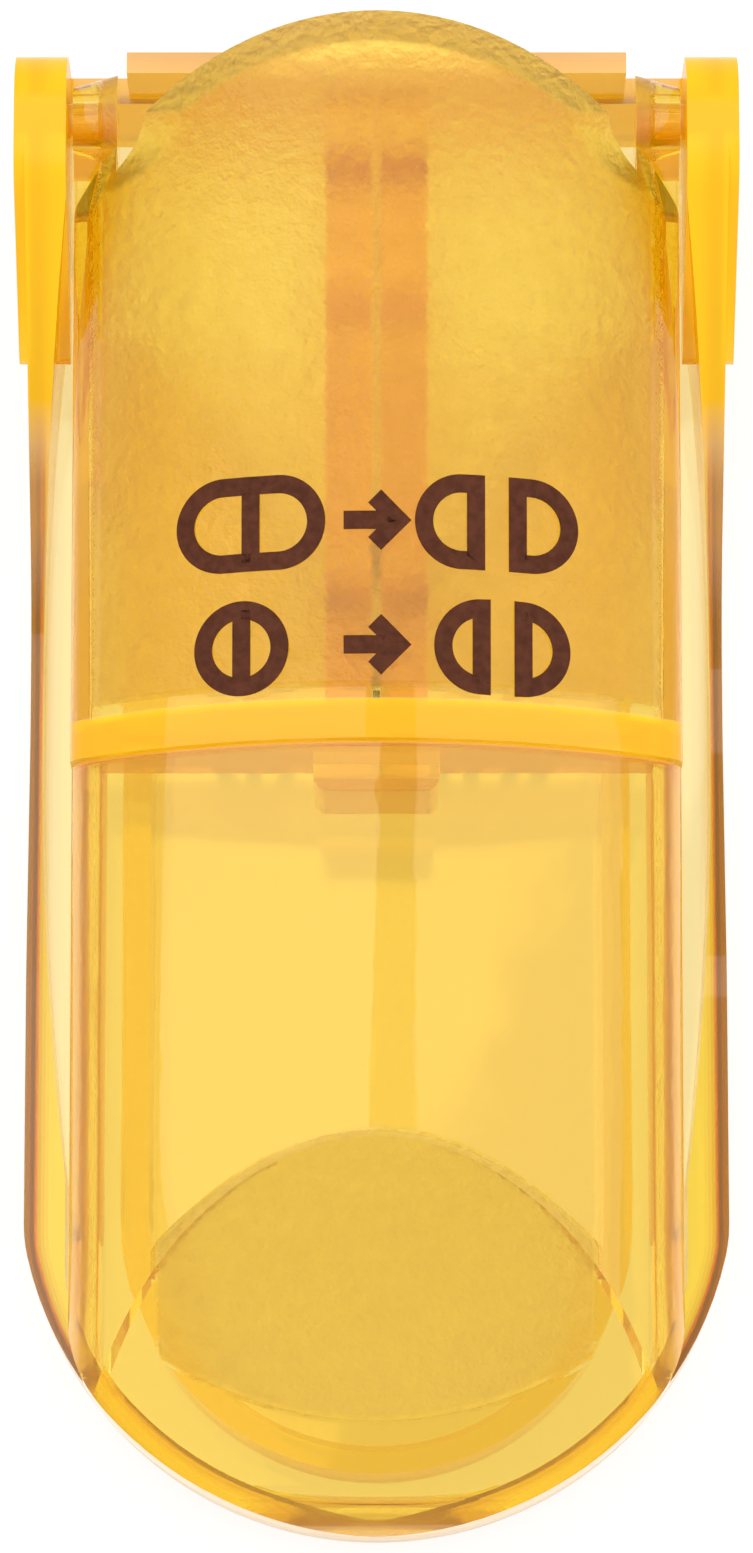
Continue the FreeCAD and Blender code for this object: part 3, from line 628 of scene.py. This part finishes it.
# Stage ---------------------------------------------------------------------------------------

# Half the floor's side, in metres, and how its light is shared between glow and lamps.
FLOOR_HALF = 1.2
FLOOR_HEIGHT = -0.15 * MM
FLOOR_GLOW = 0.74
FLOOR_GREY = (0.3, 0.3, 0.3)
WORLD_GLOW = 0.9
# Each lamp's place, its size and its power in watts. They all aim at the origin.
LAMPS = {
    "key": ((-0.25, 0.15, 0.55), (0.6, 0.6), 1.5),
    "fill": ((0.35, 0.0, 0.45), (0.5, 0.6), 1.0),
}
# The camera's distance and height angle from the point it aims at, in metres.
CAMERA_DISTANCE = 0.40
CAMERA_ELEVATION = math.radians(79.0)
CAMERA_AIM = Vector((0.0, 0.0011, 0.009))
# What the picture takes in from top to bottom, where the camera aims.
PICTURE_HEIGHT = 0.0868
SENSOR_HEIGHT = 24.0
# How many surfaces a ray may meet.
BOUNCES = 12
CLEAR_BOUNCES = 16


def glowing_white():
    """White table that shines evenly, with a little of its light from the lamps."""
    tree = Tree("floor_white")
    glow = tree.add("Emission")
    glow.inputs["Strength"].default_value = FLOOR_GLOW
    matt = tree.add("BsdfDiffuse")
    matt.inputs["Color"].default_value = (*FLOOR_GREY, 1.0)
    both = tree.add("AddShader")
    tree.link(glow.outputs[0], both.inputs[0])
    tree.link(matt.outputs[0], both.inputs[1])
    tree.link(both.outputs[0], tree.output.inputs["Surface"])
    return tree.material


def floor():
    """Pale floor just under the object, lit from within like a light table."""
    corners = [
        (x * FLOOR_HALF, y * FLOOR_HALF, FLOOR_HEIGHT)
        for x, y in ((-1, -1), (1, -1), (1, 1), (-1, 1))
    ]
    mesh = bpy.data.meshes.new("floor")
    mesh.from_pydata(corners, [], [(0, 1, 2, 3)])
    mesh.materials.append(glowing_white())
    ground = bpy.data.objects.new("floor", mesh)
    bpy.context.scene.collection.objects.link(ground)


def lights():
    """Large soft boxes and a bright even surround."""
    world = bpy.data.worlds.new("studio")
    world.use_nodes = True
    background = world.node_tree.nodes["Background"]
    background.inputs["Color"].default_value = (1.0, 1.0, 1.0, 1.0)
    background.inputs["Strength"].default_value = WORLD_GLOW
    bpy.context.scene.world = world
    for name, (place, size, power) in LAMPS.items():
        data = bpy.data.lights.new(name, "AREA")
        data.shape = "RECTANGLE"
        data.size, data.size_y = size
        data.energy = power
        lamp = bpy.data.objects.new(name, data)
        lamp.location = place
        lamp.rotation_euler = (Vector() - Vector(place)).to_track_quat("-Z", "Y").to_euler()
        bpy.context.scene.collection.objects.link(lamp)


def camera():
    """Nearly overhead, tipped a little to the front, as far away as for a product photo."""
    data = bpy.data.cameras.new("camera")
    data.sensor_fit = "VERTICAL"
    data.sensor_height = SENSOR_HEIGHT
    data.lens = SENSOR_HEIGHT * CAMERA_DISTANCE / PICTURE_HEIGHT
    data.clip_start = 0.01
    eye = bpy.data.objects.new("camera", data)
    back = Vector((0.0, -math.cos(CAMERA_ELEVATION), math.sin(CAMERA_ELEVATION)))
    eye.location = CAMERA_AIM + back * CAMERA_DISTANCE
    eye.rotation_euler = (-back).to_track_quat("-Z", "Y").to_euler()
    bpy.context.scene.collection.objects.link(eye)
    bpy.context.scene.camera = eye


def render_depth():
    """Let light pass through every wall of the clear parts, and show colours as they are."""
    cycles = bpy.context.scene.cycles
    cycles.max_bounces = BOUNCES
    cycles.transmission_bounces = BOUNCES
    cycles.transparent_max_bounces = CLEAR_BOUNCES
    bpy.context.scene.view_settings.view_transform = "Standard"


camera()
lights()
floor()
dress_nodes()
print_signs()
render_depth()
